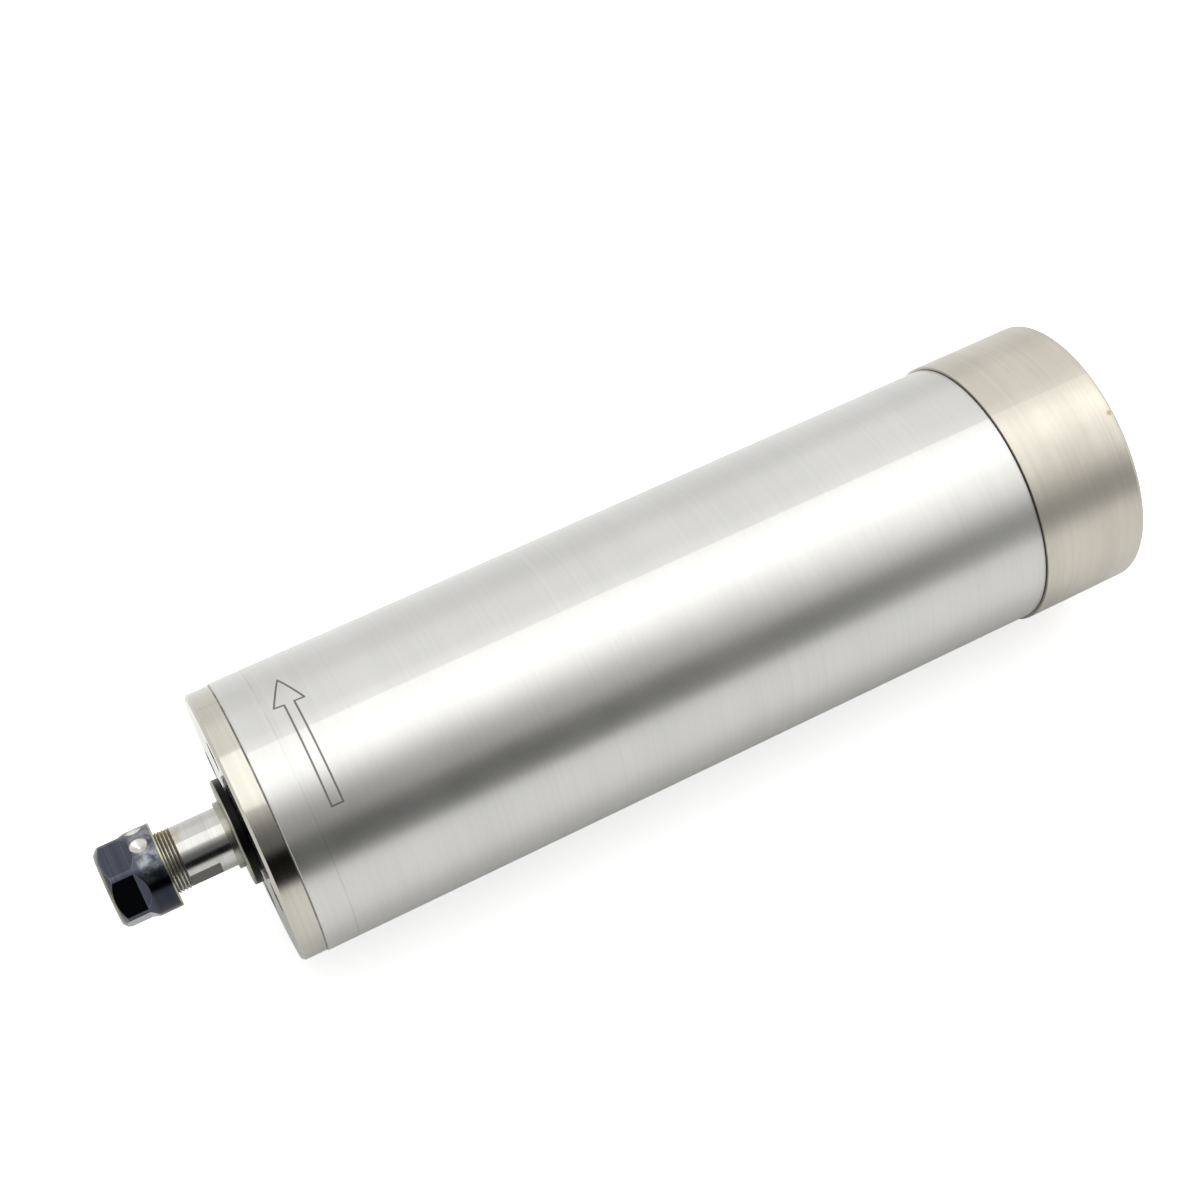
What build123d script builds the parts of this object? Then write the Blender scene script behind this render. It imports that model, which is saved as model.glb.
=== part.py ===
from build123d import *

import os
from collections import namedtuple
from math import cos, radians, sin, tan

# Water-cooled high-speed motor spindle with an ER11 collet chuck.
# The spindle axis lies along X. The nose points to -X and x = 0 is the front end of the barrel.
# Clock angles turn about +X, from +Z (0) towards -Y (90). Lengths are millimetres, angles degrees.

Bearing = namedtuple("Bearing", "bore outer width ball balls")

# ---- driving dimensions ----
BARREL_DIAMETER = 62.0
BARREL_LENGTH = 176.2
BARREL_WALL = 2.5
BARREL_CHAMFER = 0.3
COVER_STEP = 0.25
COVER_DIAMETER = BARREL_DIAMETER - 2 * COVER_STEP
COVER_THICKNESS = 5.5
COVER_CHAMFER = 0.6
COVER_SPIGOT = 2.5
CAP_STEP = 0.65
CAP_DIAMETER = BARREL_DIAMETER + 2 * CAP_STEP
CAP_LENGTH = 25.8
CAP_WALL = 4.0
CAP_END_WALL = 4.0
CAP_SPIGOT = 4.2
CAP_SPIGOT_WALL = 1.5
CAP_EDGE_RADIUS = 1.0

FIT_GAP = 0.02
RUNNING_GAP = 0.06
THREAD_GAP = 0.05
LABYRINTH_GAP = 0.4
AXIAL_GAP = 0.4
CLOCK = 25.0

FRONT_BEARING = Bearing(bore=15.0, outer=32.0, width=9.0, ball=4.76, balls=11)
REAR_BEARING = Bearing(bore=12.0, outer=28.0, width=8.0, ball=4.76, balls=10)
RING_SHOULDER = 1.15
CAGE_THICKNESS = 1.4
CAGE_WIDTH_SHARE = 0.78
POCKET_GAP = 0.1
FRONT_SPACER = 4.0
SPACER_WALL = 2.0
HOUSING_SHOULDER = 3.5
REAR_HOUSING_LENGTH = 26.0
REAR_HOUSING_WALL = 3.0
SPRING_HEIGHT = 1.2
SPRING_THICKNESS = 0.5
LOCK_NUT_LENGTH = 5.0
LOCK_NUT_DIAMETER = 20.0
LOCK_NUT_SLOTS = 4
LOCK_NUT_SLOT = 3.0
SHAFT_TAIL = 1.3

JACKET_WALL = 4.5
STATOR_DIAMETER = BARREL_DIAMETER - 2 * (BARREL_WALL + JACKET_WALL)
STATOR_BUILD = 10.5
STATOR_BORE = STATOR_DIAMETER - 2 * STATOR_BUILD
STATOR_LENGTH = 60.0
STATOR_SLOTS = 18
SLOT_WIDTH = 2.6
SLOT_MOUTH = 0.8
TOOTH_TIP = 1.2
STATOR_YOKE = 3.3
SLOT_DEPTH = STATOR_BUILD - TOOTH_TIP - STATOR_YOKE
WIRE_GAP = 0.2
END_TURN_LENGTH = 14.5
END_TURN_INSET = 1.7
END_TURN_WALL = STATOR_BUILD - TOOTH_TIP - WIRE_GAP - END_TURN_INSET
END_TURN_RADIUS = 2.8
ROUNDING_LIMIT = 0.45
END_TURN_GAP = 0.5

AIR_GAP = 0.3
ROTOR_LENGTH = 62.0
ROTOR_BUILD = 4.2
ROTOR_BORE = STATOR_BORE - 2 * (AIR_GAP + ROTOR_BUILD)
ROTOR_BARS = 16
ROTOR_BAR_DIAMETER = 2.4
CAGE_RING_LENGTH = 4.0
BALANCE_RING_LENGTH = 4.0
BALANCE_RING_WALL = 3.2
BALANCE_DRILL = 2.0

JACKET_CHANNELS = 12
CHANNEL_DEPTH = 2.2
CHANNEL_RIB = 2.4
JACKET_COLLAR = 6.0
CROSSOVER = 7.0
WATER_HOLE = 2.4
SEAL_SECTION = 1.8
SEAL_SQUEEZE = 0.2
SEAL_GROOVE_WIDTH = 2.4

SHAFT_NECK = 13.4
SHAFT_SHOULDER = 19.6
SHAFT_REAR_JOURNAL = 15.6
SHAFT_THREAD = 14.0
THREAD_PITCH = 0.75
THREAD_DEPTH = 0.46
THREAD_CREST = 0.1
SHAFT_FRONT_X = -31.0
THREAD_END_X = -19.5
THREAD_CHAMFER = 0.5
SEAT_START_X = -1.0
FLATS_ACROSS = 12.0
FLATS_FRONT_X = -19.5
FLATS_REAR_X = -12.7
FLATS_CLOCK = 93.5
SHANK_BORE = 6.6
SHANK_BORE_END_X = -6.0

SLINGER_DIAMETER = 24.0
SLINGER_THICKNESS = 2.0
SLINGER_SPIGOT = 19.2
SLINGER_HUB = 15.2
SLINGER_HUB_LENGTH = 1.4

COLLET_BORE = 3.175
COLLET_LENGTH = 18.0
COLLET_DIAMETER = 11.5
COLLET_NOSE_LENGTH = 1.5
COLLET_NOSE_ANGLE = 30.0
COLLET_LAND = 0.7
COLLET_GROOVE = 9.7
COLLET_GROOVE_WIDTH = 1.5
COLLET_TAPER_DIAMETER = 11.1
COLLET_TAPER_ANGLE = 8.0
COLLET_RECESS = 0.5
COLLET_SLITS = 6
COLLET_SLIT_WIDTH = 0.6
COLLET_WEB = 4.5

NUT_DIAMETER = 19.0
NUT_REAR_X = -22.9
NUT_COLLAR_LENGTH = 5.0
NUT_RUNOUT_LENGTH = 1.8
NUT_FACE_X = -35.8
NUT_FLATS = 6
NUT_ACROSS_FLATS = 17.0
NUT_FACE_DIAMETER = 15.7
NUT_CHAMFER_LENGTH = 1.5
NUT_CORNER_CLOCK = 16.5
NUT_LIP_WIDTH = 1.0
NUT_LIP_OFFSET = 0.45
NUT_RELIEF = 12.4
NUT_MOUTH_FLARE = 0.25
NUT_DRILL = 3.7
NUT_DRILL_DEPTH = 1.5
NUT_DRILL_POINT_ANGLE = 118.0
NUT_DRILL_FROM_COLLAR = 1.5
NUT_DRILL_CLOCKS = (-13.5, -48.5)

COVER_SCREW = 4.0
COVER_SCREW_LENGTH = 16.0
COVER_SCREWS = 4
COVER_SCREW_INSET = 6.2
COVER_SCREW_CIRCLE = BARREL_DIAMETER - 2 * (BARREL_WALL + COVER_SCREW_INSET)
CAP_SCREW = 3.0
CAP_SCREW_GRIP = 6.0
CAP_SCREWS = 4
CAP_SCREW_INSET = 3.7
CAP_SCREW_CIRCLE = BARREL_DIAMETER - 2 * (BARREL_WALL + CAP_SCREW_INSET)
SCREW_CLEARANCE = 0.3
SCREW_RECESS = 0.4
SCREW_HEAD_SHARE = 0.75

CONNECTOR_THREAD = 16.0
CONNECTOR_CENTRE = 11.0
CONNECTOR_CLOCK = 205.0
CONNECTOR_REACH = 10.0
CONNECTOR_WALL = 1.3
CONNECTOR_FLANGE = 19.0
CONNECTOR_FLANGE_THICKNESS = 2.0
CONNECTOR_TAIL = 6.0
CONNECTOR_NUT_ACROSS_FLATS = 19.0
CONNECTOR_NUT_THICKNESS = 2.5
INSERT_FACE = 1.0
PIN_DIAMETER = 2.0
PIN_CIRCLE = 7.2
PIN_CLOCK = 45.0
PIN_REACH = 4.5
PIN_TAIL = 9.0
PINS = 4
KEYWAY = 1.6

NIPPLE_CENTRE = 13.8
NIPPLE_SPREAD = 150.0
NIPPLE_STEM = 6.0
NIPPLE_BORE = 3.6
NIPPLE_THREAD = 8.0
NIPPLE_ACROSS_FLATS = 10.0
NIPPLE_HEX_LENGTH = 3.0
NIPPLE_REACH = 14.0
NIPPLE_TAIL = 3.0
TUBE_DIAMETER = 3.6
TUBE_WALL = 0.5
TUBE_BEND = 6.0
TUBE_SEAT = 3.0
WATER_INSET = 3.7
WATER_CIRCLE = BARREL_DIAMETER - 2 * (BARREL_WALL + WATER_INSET)
WATER_DRILL = 3.0

LEAD_DIAMETER = 1.7
LEAD_BEND = 6.0
LEAD_SPREAD = 10.0
LEAD_CIRCLE = (REAR_BEARING.outer + BARREL_DIAMETER) / 2 - BARREL_WALL
LEAD_HOLE = 6.6
LEAD_RUN = 6.0
EARTH_LEAD_CLOCK = 180.0

# ---- stations along the axis, worked out from the sizes above ----
barrel_bore = BARREL_DIAMETER / 2 - BARREL_WALL
located = barrel_bore - FIT_GAP
front_a_x = COVER_SPIGOT
front_b_x = front_a_x + FRONT_BEARING.width + FRONT_SPACER
front_pack_end = front_b_x + FRONT_BEARING.width
front_housing_end = front_pack_end + HOUSING_SHOULDER
rear_housing_end = BARREL_LENGTH - CAP_SPIGOT
rear_housing_start = rear_housing_end - REAR_HOUSING_LENGTH
spring_x = rear_housing_start + REAR_HOUSING_WALL
rear_a_x = spring_x + SPRING_HEIGHT
rear_b_x = rear_a_x + REAR_BEARING.width
rear_pack_end = rear_b_x + REAR_BEARING.width
shaft_end = rear_pack_end + LOCK_NUT_LENGTH + SHAFT_TAIL
motor_middle = (front_housing_end + rear_housing_start) / 2
cap_end = BARREL_LENGTH + CAP_LENGTH
cap_chamber_end = cap_end - CAP_END_WALL
collet_face = NUT_FACE_X + COLLET_RECESS
nipple_clocks = (CONNECTOR_CLOCK - 360 + NIPPLE_SPREAD / 2, CONNECTOR_CLOCK - NIPPLE_SPREAD / 2)


# ---- helpers ----
def polar(radius, clock):
    """Y and Z of a point at a clock angle."""
    return -radius * sin(radians(clock)), radius * cos(radians(clock))


def turned(*outline):
    """Solid of revolution about the spindle axis from a closed (x, radius) outline."""
    corners = [(x, 0, radius) for x, radius in outline]
    return revolve(make_face(Polyline(*corners, close=True)), Axis.X)


def tube(x0, x1, outer, inner=0.0):
    """Tube or bar about the spindle axis, by radii."""
    return turned((x0, inner), (x1, inner), (x1, outer), (x0, outer))


def bar(x0, x1, radius, y=0.0, z=0.0):
    """Round bar parallel to the axis."""
    return Pos((x0 + x1) / 2, y, z) * Rot(0, 90, 0) * Cylinder(radius, x1 - x0)


def hexagon(x0, x1, across_flats, y=0.0, z=0.0, clock=0.0):
    """Hexagonal bar parallel to the axis."""
    profile = RegularPolygon(across_flats / 2, 6, major_radius=False)
    return Pos(x0, y, z) * Rot(clock, 0, 0) * Rot(0, 90, 0) * extrude(profile, x1 - x0)


def radial_block(x0, x1, r0, r1, width):
    """Block that stands on the +Z side of the axis, between two radii."""
    return Pos((x0 + x1) / 2, 0, (r0 + r1) / 2) * Box(x1 - x0, width, r1 - r0)


def clocked(piece, count, start=0.0):
    """Copies of a piece, evenly spaced about the axis."""
    return [Rot(start + 360 * i / count, 0, 0) * piece for i in range(count)]


def swept(points, bend, radius):
    """Round rod along a path of straight runs and tangent bends."""
    path = FilletPolyline(*points, radius=bend)
    section = Plane(origin=path @ 0, z_dir=path % 0) * Circle(radius)
    return sweep(section, path=path)


def write(name, *pieces):
    """One STEP file for a node, which may hold several separate solids."""
    solids = [solid for piece in pieces for solid in piece.solids()]
    export_step(solids[0] if len(solids) == 1 else Compound(solids), f"parts/{name}.step")


def cap_head_screw(size, x_seat, length):
    """Socket head cap screw that points to +X, its head towards -X from the seat."""
    head = bar(x_seat - size, x_seat, size * SCREW_HEAD_SHARE)
    shank = bar(x_seat - size / 2, x_seat + length, size / 2)
    socket = hexagon(x_seat - size, x_seat - size / 2, size * SCREW_HEAD_SHARE)
    return head + shank - socket


# ---- angular-contact bearings ----
def bearing_radii(bearing):
    pitch = (bearing.bore + bearing.outer) / 4
    return pitch, pitch - RING_SHOULDER, pitch + RING_SHOULDER


def raceway(bearing, x0):
    """Torus that the balls roll in, a running gap larger than the balls."""
    pitch = bearing_radii(bearing)[0]
    section = Pos(x0 + bearing.width / 2, 0, pitch) * Rot(90, 0, 0) * Circle(bearing.ball / 2 + RUNNING_GAP)
    return revolve(section, Axis.X)


def inner_ring(bearing, x0):
    shoulder = bearing_radii(bearing)[1]
    return tube(x0, x0 + bearing.width, shoulder, bearing.bore / 2 + FIT_GAP) - raceway(bearing, x0)


def outer_ring(bearing, x0):
    shoulder = bearing_radii(bearing)[2]
    return tube(x0, x0 + bearing.width, bearing.outer / 2, shoulder) - raceway(bearing, x0)


def ball_set(bearing, x0):
    pitch = bearing_radii(bearing)[0]
    ball = Pos(x0 + bearing.width / 2, 0, pitch) * Sphere(bearing.ball / 2)
    return clocked(ball, bearing.balls)


def ball_cage(bearing, x0):
    pitch = bearing_radii(bearing)[0]
    half = bearing.width * CAGE_WIDTH_SHARE / 2
    middle = x0 + bearing.width / 2
    cage = tube(middle - half, middle + half, pitch + CAGE_THICKNESS / 2, pitch - CAGE_THICKNESS / 2)
    pocket = Pos(middle, 0, pitch) * Cylinder(bearing.ball / 2 + POCKET_GAP, 2 * bearing.ball)
    for hole in clocked(pocket, bearing.balls):
        cage -= hole
    return cage


def write_bearing(name, bearing, x0):
    write(f"{name}_outer_ring", outer_ring(bearing, x0))
    write(f"{name}_inner_ring", inner_ring(bearing, x0))
    write(f"{name}_balls", *ball_set(bearing, x0))
    write(f"{name}_cage", ball_cage(bearing, x0))


# ---- casing ----
def barrel():
    c = BARREL_CHAMFER
    outer = BARREL_DIAMETER / 2
    return turned(
        (0, barrel_bore), (BARREL_LENGTH, barrel_bore), (BARREL_LENGTH, outer - c),
        (BARREL_LENGTH - c, outer), (c, outer), (0, outer - c),
    )


def cover_screw(clearance=0.0):
    seat = -COVER_THICKNESS + SCREW_RECESS + COVER_SCREW
    y, z = polar(COVER_SCREW_CIRCLE / 2, 0)
    if clearance:
        head = bar(-COVER_THICKNESS - 1, seat, COVER_SCREW * SCREW_HEAD_SHARE + clearance)
        screw = head + bar(seat - 1, seat + COVER_SCREW_LENGTH + 1, COVER_SCREW / 2 + FIT_GAP)
    else:
        screw = cap_head_screw(COVER_SCREW, seat, COVER_SCREW_LENGTH)
    return clocked(Pos(0, y, z) * screw, COVER_SCREWS, CLOCK + 180 / COVER_SCREWS)


def front_cover():
    outer = COVER_DIAMETER / 2
    mouth = SLINGER_SPIGOT / 2 + LABYRINTH_GAP
    relief = bearing_radii(FRONT_BEARING)[2] + AXIAL_GAP
    cover = turned(
        (-COVER_THICKNESS, mouth), (SEAT_START_X, mouth), (SEAT_START_X, relief), (COVER_SPIGOT, relief),
        (COVER_SPIGOT, located), (0, located), (0, outer), (COVER_CHAMFER - COVER_THICKNESS, outer),
        (-COVER_THICKNESS, outer - COVER_CHAMFER),
    )
    for hole in cover_screw(SCREW_CLEARANCE):
        cover -= hole
    return cover


def seal_groove(x):
    """Ring to cut from a housing's outside for an O-ring centred at x."""
    floor = barrel_bore - SEAL_SECTION + SEAL_SQUEEZE
    return tube(x - SEAL_GROOVE_WIDTH / 2, x + SEAL_GROOVE_WIDTH / 2, barrel_bore + 1, floor)


def seal_ring(x):
    """O-ring, flattened by its squeeze between groove floor and barrel bore."""
    height = SEAL_SECTION - SEAL_SQUEEZE - 2 * FIT_GAP
    middle = barrel_bore - FIT_GAP - height / 2
    section = Pos(x, 0, middle) * Rot(90, 0, 0) * Ellipse(SEAL_SECTION / 2, height / 2)
    return revolve(section, Axis.X)


front_seal_x = front_housing_end - SEAL_GROOVE_WIDTH - FIT_GAP
rear_seal_x = rear_housing_start + REAR_HOUSING_WALL + SEAL_GROOVE_WIDTH


def front_bearing_housing():
    seat = FRONT_BEARING.outer / 2 + FIT_GAP
    shoulder = bearing_radii(FRONT_BEARING)[2] + AXIAL_GAP
    housing = turned(
        (COVER_SPIGOT, seat), (front_pack_end, seat), (front_pack_end, shoulder),
        (front_housing_end, shoulder), (front_housing_end, located), (COVER_SPIGOT, located),
    )
    for hole in cover_screw(SCREW_CLEARANCE):
        housing -= hole
    return housing - seal_groove(front_seal_x)


def water_jacket():
    """Sleeve whose outside is milled into axial channels that the water runs up and down in turn."""
    inner = STATOR_DIAMETER / 2 + FIT_GAP
    floor = located - CHANNEL_DEPTH
    start = front_housing_end + JACKET_COLLAR
    end = rear_housing_start - JACKET_COLLAR
    jacket = tube(front_housing_end, rear_housing_start, located, inner)
    jacket -= tube(start, end, located + 1, floor)
    step = 360 / JACKET_CHANNELS
    outlet = round(NIPPLE_SPREAD / step)
    ring = tube(start, end, located, floor - CHANNEL_DEPTH / 2)
    for i in range(JACKET_CHANNELS):
        passed = i if i < outlet else JACKET_CHANNELS - 1 - i
        opens_at_front = passed % 2 == 0
        x0 = start + CROSSOVER if opens_at_front else start
        x1 = end if opens_at_front else end - CROSSOVER
        rib = radial_block(x0, x1, floor - 1, located + 1, CHANNEL_RIB)
        rib = Rot(nipple_clocks[1] + (i + 0.5) * step, 0, 0) * rib
        jacket += rib & ring
    for clock in nipple_clocks:
        y, z = polar(floor + WATER_HOLE / 2, clock)
        jacket -= bar(end - 1, rear_housing_start + 1, WATER_HOLE / 2, y, z)
    return jacket


def cap_screw(clearance=0.0):
    seat = cap_end - SCREW_RECESS - CAP_SCREW
    grip = seat - rear_housing_end + CAP_SCREW_GRIP
    y, z = polar(CAP_SCREW_CIRCLE / 2, 0)
    if clearance:
        head = bar(seat, cap_end + 1, CAP_SCREW * SCREW_HEAD_SHARE + clearance)
        screw = head + bar(seat - grip - 1, seat + 1, CAP_SCREW / 2 + FIT_GAP)
    else:
        screw = Pos(2 * seat, 0, 0) * Rot(0, 0, 180) * cap_head_screw(CAP_SCREW, seat, grip)
    return clocked(Pos(0, y, z) * screw, CAP_SCREWS, CLOCK + 180 / CAP_SCREWS)


def rear_bearing_housing():
    seat = REAR_BEARING.outer / 2 + FIT_GAP
    shoulder = bearing_radii(REAR_BEARING)[2] + AXIAL_GAP
    housing = turned(
        (rear_housing_start, shoulder), (spring_x, shoulder), (spring_x, seat),
        (rear_housing_end, seat), (rear_housing_end, located), (rear_housing_start, located),
    )
    for clock in nipple_clocks:
        y, z = polar(WATER_CIRCLE / 2, clock)
        drill = bar(rear_housing_start + 1, rear_housing_end + 1, WATER_DRILL / 2, y, z)
        seat_bore = bar(rear_housing_end - TUBE_SEAT, rear_housing_end + 1, TUBE_DIAMETER / 2 + FIT_GAP, y, z)
        pocket_top = located - CHANNEL_DEPTH + WATER_HOLE
        pocket = radial_block(
            rear_housing_start - 1, rear_housing_start + WATER_DRILL / 2,
            (WATER_CIRCLE - WATER_DRILL) / 2, pocket_top, WATER_DRILL,
        )
        housing -= drill + seat_bore
        housing -= Rot(clock, 0, 0) * pocket
    y, z = polar(LEAD_CIRCLE / 2, CONNECTOR_CLOCK)
    housing -= bar(rear_housing_start - 1, rear_housing_end + 1, LEAD_HOLE / 2, y, z)
    for hole in cap_screw(SCREW_CLEARANCE):
        housing -= hole
    return housing - seal_groove(rear_seal_x)


def rear_cap():
    outer = CAP_DIAMETER / 2
    inner = outer - CAP_WALL
    cap = turned(
        (rear_housing_end, located - CAP_SPIGOT_WALL), (BARREL_LENGTH, located - CAP_SPIGOT_WALL),
        (BARREL_LENGTH + CAP_WALL / 2, inner), (cap_chamber_end, inner), (cap_chamber_end, 0),
        (cap_end, 0), (cap_end, outer), (BARREL_LENGTH, outer), (BARREL_LENGTH, located),
        (rear_housing_end, located),
    )
    rim = cap.edges().filter_by(GeomType.CIRCLE).group_by(Axis.X)[-1]
    cap = fillet(rim, CAP_EDGE_RADIUS)
    y, z = polar(CONNECTOR_CENTRE, CONNECTOR_CLOCK)
    cap -= bar(cap_chamber_end - 1, cap_end + 1, CONNECTOR_THREAD / 2 + FIT_GAP, y, z)
    for clock in nipple_clocks:
        y, z = polar(NIPPLE_CENTRE, clock)
        cap -= bar(cap_chamber_end - 1, cap_end + 1, NIPPLE_THREAD / 2 + FIT_GAP, y, z)
    for hole in cap_screw(SCREW_CLEARANCE):
        cap -= hole
    return cap


# ---- motor ----
def stator_slot(gap=0.0):
    """One winding slot on the +Z side; a gap shrinks it to the copper inside."""
    x0 = motor_middle - STATOR_LENGTH / 2 - 1
    x1 = motor_middle + STATOR_LENGTH / 2 + 1
    base = STATOR_BORE / 2 + TOOTH_TIP
    return radial_block(x0, x1, base + gap, base + SLOT_DEPTH - gap, SLOT_WIDTH - 2 * gap)


def stator_core():
    x0 = motor_middle - STATOR_LENGTH / 2
    x1 = motor_middle + STATOR_LENGTH / 2
    core = tube(x0, x1, STATOR_DIAMETER / 2, STATOR_BORE / 2)
    mouth = radial_block(x0 - 1, x1 + 1, STATOR_BORE / 2 - 1, STATOR_BORE / 2 + TOOTH_TIP + 1, SLOT_MOUTH)
    for slot in clocked(stator_slot() + mouth, STATOR_SLOTS):
        core -= slot
    return core


end_turn_rounding = min(END_TURN_RADIUS, ROUNDING_LIMIT * END_TURN_WALL)


def end_turn(x0, x1):
    base = STATOR_BORE / 2 + TOOTH_TIP + WIRE_GAP
    ring = tube(x0, x1, base + END_TURN_WALL, base)
    return fillet(ring.edges().filter_by(GeomType.CIRCLE), end_turn_rounding)


def stator_winding():
    reach = STATOR_LENGTH / 2 + END_TURN_GAP
    winding = end_turn(motor_middle - reach - END_TURN_LENGTH, motor_middle - reach)
    winding += end_turn(motor_middle + reach, motor_middle + reach + END_TURN_LENGTH)
    lap = end_turn_rounding + END_TURN_GAP
    base = STATOR_BORE / 2 + TOOTH_TIP
    coil_side = radial_block(
        motor_middle - reach - lap, motor_middle + reach + lap,
        base + 2 * WIRE_GAP, base + SLOT_DEPTH - WIRE_GAP, SLOT_WIDTH - 2 * WIRE_GAP,
    )
    for side in clocked(coil_side, STATOR_SLOTS):
        winding += side
    return winding


rotor_radius = STATOR_BORE / 2 - AIR_GAP
rotor_start = motor_middle - ROTOR_LENGTH / 2
rotor_end = motor_middle + ROTOR_LENGTH / 2
balance_start = rotor_start - CAGE_RING_LENGTH - BALANCE_RING_LENGTH
balance_end = rotor_end + CAGE_RING_LENGTH + BALANCE_RING_LENGTH
bar_circle = rotor_radius - ROTOR_BAR_DIAMETER * 0.75


def rotor_bars(radius, extra=0.0):
    one = bar(rotor_start - extra, rotor_end + extra, radius, *polar(bar_circle, 0))
    return clocked(one, ROTOR_BARS)


def rotor_core():
    core = tube(rotor_start, rotor_end, rotor_radius, ROTOR_BORE / 2 + FIT_GAP)
    for hole in rotor_bars(ROTOR_BAR_DIAMETER / 2, 1):
        core -= hole
    return core


def rotor_cage():
    """Squirrel cage: bars cast through the core, with a shorting ring at each end."""
    inner = ROTOR_BORE / 2 + FIT_GAP
    outer = rotor_radius - FIT_GAP
    cage = tube(rotor_start - CAGE_RING_LENGTH, rotor_start, outer, inner)
    cage += tube(rotor_end, rotor_end + CAGE_RING_LENGTH, outer, inner)
    for one in rotor_bars(ROTOR_BAR_DIAMETER / 2 - FIT_GAP, CAGE_RING_LENGTH / 2):
        cage += one
    return cage


def balance_ring(x0, clock):
    """Brass ring, drilled on its light side's far side."""
    inner = ROTOR_BORE / 2 + FIT_GAP
    ring = tube(x0, x0 + BALANCE_RING_LENGTH, inner + BALANCE_RING_WALL, inner)
    y, z = polar(inner + BALANCE_RING_WALL / 2, clock)
    return ring - bar(x0 - 1, x0 + BALANCE_RING_LENGTH + 1, BALANCE_DRILL / 2, y, z)


# ---- shaft and chuck ----
def collet_taper(x):
    """Radius of the collet's long taper at x."""
    taper_start = collet_face + COLLET_NOSE_LENGTH + COLLET_LAND + COLLET_GROOVE_WIDTH
    return COLLET_TAPER_DIAMETER / 2 - (x - taper_start) * tan(radians(COLLET_TAPER_ANGLE))


def thread_rings(x0, x1, radius):
    """Outline of a thread as rings, one for each turn that ends at x1, with flat crests and sharp roots."""
    turns = int((x1 - x0) / THREAD_PITCH)
    outline = []
    for i in range(turns):
        x = x1 - (turns - i) * THREAD_PITCH
        root_x = x + (THREAD_PITCH + THREAD_CREST) / 2
        outline += [(x, radius), (x + THREAD_CREST, radius), (root_x, radius - THREAD_DEPTH)]
    return outline


def spindle_shaft():
    neck = SHAFT_NECK / 2
    thread = SHAFT_THREAD / 2
    seat = FRONT_BEARING.bore / 2
    rear_seat = REAR_BEARING.bore / 2
    taper_end = collet_face + COLLET_LENGTH + AXIAL_GAP
    shank = SHANK_BORE / 2
    shaft = turned(
        (SHAFT_FRONT_X, collet_taper(SHAFT_FRONT_X) + THREAD_GAP), (SHAFT_FRONT_X, thread - THREAD_CHAMFER),
        (SHAFT_FRONT_X + THREAD_CHAMFER, thread), *thread_rings(SHAFT_FRONT_X + 2 * THREAD_CHAMFER, THREAD_END_X, thread),
        (THREAD_END_X, thread), (THREAD_END_X, neck),
        (SEAT_START_X, neck), (SEAT_START_X, seat), (front_pack_end, seat),
        (front_pack_end, SHAFT_SHOULDER / 2), (balance_start, SHAFT_SHOULDER / 2),
        (balance_start, ROTOR_BORE / 2), (balance_end, ROTOR_BORE / 2),
        (balance_end, SHAFT_REAR_JOURNAL / 2), (rear_a_x, SHAFT_REAR_JOURNAL / 2), (rear_a_x, rear_seat),
        (shaft_end, rear_seat), (shaft_end, 0), (SHANK_BORE_END_X + shank, 0), (SHANK_BORE_END_X, shank),
        (taper_end, shank), (taper_end, collet_taper(taper_end) + THREAD_GAP),
    )
    flat = radial_block(FLATS_FRONT_X, FLATS_REAR_X, FLATS_ACROSS / 2, SHAFT_THREAD, SHAFT_THREAD * 2)
    for cut in clocked(flat, 2, FLATS_CLOCK):
        shaft -= cut
    return shaft


def slinger():
    """Dust slinger: a disc in front of the cover, with a hub and a labyrinth spigot."""
    disc_rear = -COVER_THICKNESS - LABYRINTH_GAP
    disc_front = disc_rear - SLINGER_THICKNESS
    hub_front = disc_front - SLINGER_HUB_LENGTH
    disc = SLINGER_DIAMETER / 2
    edge = SLINGER_THICKNESS / 8
    return turned(
        (hub_front, SHAFT_NECK / 2 + FIT_GAP), (hub_front, SLINGER_HUB / 2), (disc_front, SLINGER_HUB / 2),
        (disc_front, disc - edge), (disc_front + edge, disc), (disc_rear, disc),
        (disc_rear, SLINGER_SPIGOT / 2), (front_a_x, SLINGER_SPIGOT / 2),
        (front_a_x, FRONT_BEARING.bore / 2 + FIT_GAP), (SEAT_START_X - FIT_GAP, FRONT_BEARING.bore / 2 + FIT_GAP),
        (SEAT_START_X - FIT_GAP, SHAFT_NECK / 2 + FIT_GAP),
    )


def lock_nut():
    radius = LOCK_NUT_DIAMETER / 2
    nut = tube(rear_pack_end, rear_pack_end + LOCK_NUT_LENGTH, radius, REAR_BEARING.bore / 2 + FIT_GAP)
    slot = radial_block(
        rear_pack_end + LOCK_NUT_LENGTH / 3, rear_pack_end + LOCK_NUT_LENGTH + 1,
        radius - LOCK_NUT_SLOT / 2, radius + 1, LOCK_NUT_SLOT,
    )
    for cut in clocked(slot, LOCK_NUT_SLOTS):
        nut -= cut
    return nut


def disc_spring():
    """Conical spring washer that preloads the rear bearings' outer rings."""
    outer = REAR_BEARING.outer / 2 - AXIAL_GAP / 2
    inner = bearing_radii(REAR_BEARING)[2] + AXIAL_GAP
    rise = SPRING_HEIGHT - SPRING_THICKNESS
    return turned(
        (spring_x, inner), (spring_x + SPRING_THICKNESS, inner),
        (spring_x + SPRING_THICKNESS + rise, outer), (spring_x + rise, outer),
    )


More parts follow.
